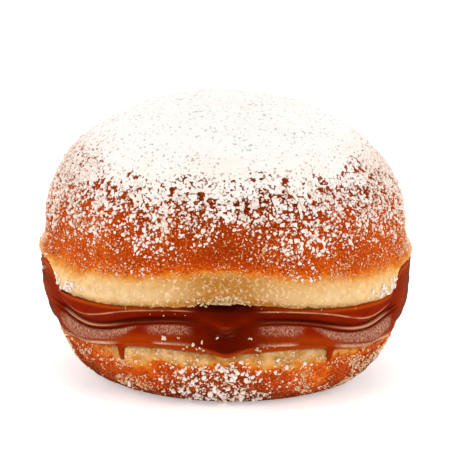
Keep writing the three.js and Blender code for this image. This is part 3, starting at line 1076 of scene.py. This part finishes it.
def make_base_sugar(base):
    def front_patch(points, normals):
        azimuth = azimuth_of(points)
        height = points[..., 2]
        patch = bump(azimuth + 3 * DEGREE, 14) + 0.12 * bump(azimuth, 28) + 0.5 * bump(azimuth - math.pi, 30)
        return patch * rise(height, 0.6, 2) * fall(height, 12, 15) + 1e-4

    def sides(points, normals):
        height = points[..., 2]
        patchy = rise(noise(points, 4, 51, 2), -0.2, 0.4)
        patch = (0.3 + bump(azimuth_of(points), 25, 50)) * patchy
        return patch * rise(height, 1, 4) * fall(height, 11, 13.5)

    rng = np.random.default_rng(9)
    strew("base_clumps", base, front_patch, 300, (1, 3), (0.34, 0.56), 600, LUMP, SUGAR, rng, apart=1.2)
    strew("base_grains", base, front_patch, 520, (1, 5), (0.14, 0.28), 2400, GRAIN, SUGAR, rng)
    strew("base_glazed_specks", base, sides, 2200, (1, 4), (0.1, 0.24), 6000, SPECK, DAMP_SUGAR, rng)


def make_crumbs(lid, caramel, base):
    """Loose crumbs: a tuft that hangs in the front notch of the lid, heaps on the pale ring at both sides,
    and a few on the caramel and on the pale edge of the base."""

    def around(middle, width, low, high):
        def weigh(points, normals):
            near = bump(azimuth_of(points), width, middle)
            height = points[..., 2]
            outside = np.hypot(points[..., 0], points[..., 1]) > 38
            return near * (height > low) * (height < high) * outside + 1e-9

        return weigh

    rng = np.random.default_rng(21)
    for crumbs in [
        ("front_crumbs", lid, around(0, 5, 26.2, 29.6), 200, (2, 6), (0.14, 0.32), 800, GRAIN, TUFT),
        ("ring_crumbs", lid, around(0, 22, 27, 36), 160, (1, 2), (0.07, 0.15), 400, GRAIN, CRUMB),
        ("ring_dust", lid, around(90, 9, 29.5, 36.5), 900, (1, 3), (0.1, 0.22), 2400, GRAIN, SUGAR),
        ("heap_crumbs", lid, around(58, 6.5, 26.4, 30), 130, (1, 4), (0.18, 0.38), 400, LUMP, SUGAR),
        ("stray_crumbs", caramel, around(70, 3.5, 27.5, 31), 7, (1, 3), (0.3, 0.5), 20, LUMP, SUGAR),
        ("caramel_crumbs", caramel, around(8, 6, 16.4, 20.5), 24, (2, 6), (0.14, 0.32), 120, LUMP, MORSEL),
        ("edge_crumbs", caramel, around(30, 25, 24.6, 27.6), 60, (1, 3), (0.09, 0.17), 200, GRAIN, CRUMB),
        ("base_crumbs", base, around(30, 30, 11, 15.5), 170, (1, 4), (0.14, 0.34), 700, GRAIN, CRUMB),
    ]:
        strew(*crumbs, rng)


# ---- stage, light and camera, in metres


def make_stage():
    """A pale floor that curves up behind into a backdrop."""
    front, back, top, curve, half_width = -2.2, 0.6, 1.6, 0.5, 3
    turns = [step / 12 * math.pi / 2 for step in range(1, 13)]
    bend = [(back + curve * math.sin(turn), curve * (1 - math.cos(turn))) for turn in turns]
    profile = [(front, 0), (back, 0), *bend, (back + curve, top)]
    vertices = [(x, y, z) for y, z in profile for x in (-half_width, half_width)]
    faces = [(2 * i, 2 * i + 1, 2 * i + 3, 2 * i + 2) for i in range(len(profile) - 1)]
    mesh = bpy.data.meshes.new("floor")
    mesh.from_pydata(vertices, [], faces)
    mesh.polygons.foreach_set("use_smooth", [True] * len(faces))
    mesh.materials.append(floor_material())
    floor = add_object("floor", mesh)
    floor.visible_glossy = False


def add_softbox(name, azimuth, elevation, distance, width, height, watts):
    """A rectangular lamp that faces the doughnut from an azimuth and elevation in degrees."""
    light = bpy.data.lights.new(name, "AREA")
    light.shape = "RECTANGLE"
    light.size = width
    light.size_y = height
    light.energy = watts
    lamp = add_object(name, light)
    target = Vector((0, 0, 0.035))
    a, e = azimuth * DEGREE, elevation * DEGREE
    direction = Vector((math.cos(e) * math.sin(a), -math.cos(e) * math.cos(a), math.sin(e)))
    lamp.location = target + direction * distance
    lamp.rotation_euler = direction.to_track_quat("Z", "Y").to_euler()
    return lamp


def make_lights():
    """Soft lamps in front, above and behind, in a pale room that is dimmer in reflections."""
    world = bpy.data.worlds.new("studio")
    world.use_nodes = True
    tree = world.node_tree
    background = tree.nodes["Background"]
    background.inputs["Color"].default_value = (1, 0.985, 0.97, 1)
    dimmed = tree.nodes.new("ShaderNodeMapRange")
    dimmed.inputs["To Min"].default_value = 0.37
    dimmed.inputs["To Max"].default_value = 0.05
    tree.links.new(tree.nodes.new("ShaderNodeLightPath").outputs["Is Glossy Ray"], dimmed.inputs["Value"])
    tree.links.new(dimmed.outputs["Result"], background.inputs["Strength"])
    bpy.context.scene.world = world
    add_softbox("top_box", 0, 68, 1, 0.7, 0.45, 1.6)
    for side in (-1, 1):
        for name, azimuth, elevation, width, height, watts in [
            ("front_box", 46, 27, 0.42, 0.5, 1.6),
            ("side_box", 92, 27, 0.95, 0.5, 2),
            ("back_box", 160, 26, 0.3, 0.4, 0.8),
        ]:
            box = add_softbox(f"{name}_{side}", azimuth * side, elevation, 0.8, width, height, watts)
            box.visible_glossy = False


def make_camera():
    """13 degrees above the floor, in front, and turned a little about its own line of sight."""
    elevation = 13 * DEGREE
    roll = 0.75 * DEGREE
    distance = 0.7
    target = Vector((0, 0, 0.03733))
    data = bpy.data.cameras.new("camera")
    data.lens = 218.4
    data.sensor_width = 36
    camera = add_object("camera", data)
    backwards = Vector((0, -math.cos(elevation), math.sin(elevation)))
    view = backwards.to_track_quat("Z", "Y").to_matrix() @ Matrix.Rotation(roll, 3, "Z")
    camera.matrix_world = Matrix.Translation(target + backwards * distance) @ view.to_4x4()
    bpy.context.scene.camera = camera


lid = make_lid()
caramel = make_caramel()
base = make_base()
make_runs(base)
make_sugar_coat()
make_lid_sugar(lid)
make_base_sugar(base)
make_crumbs(lid, caramel, base)
make_stage()
make_lights()
make_camera()
bpy.context.scene.view_settings.view_transform = "Standard"
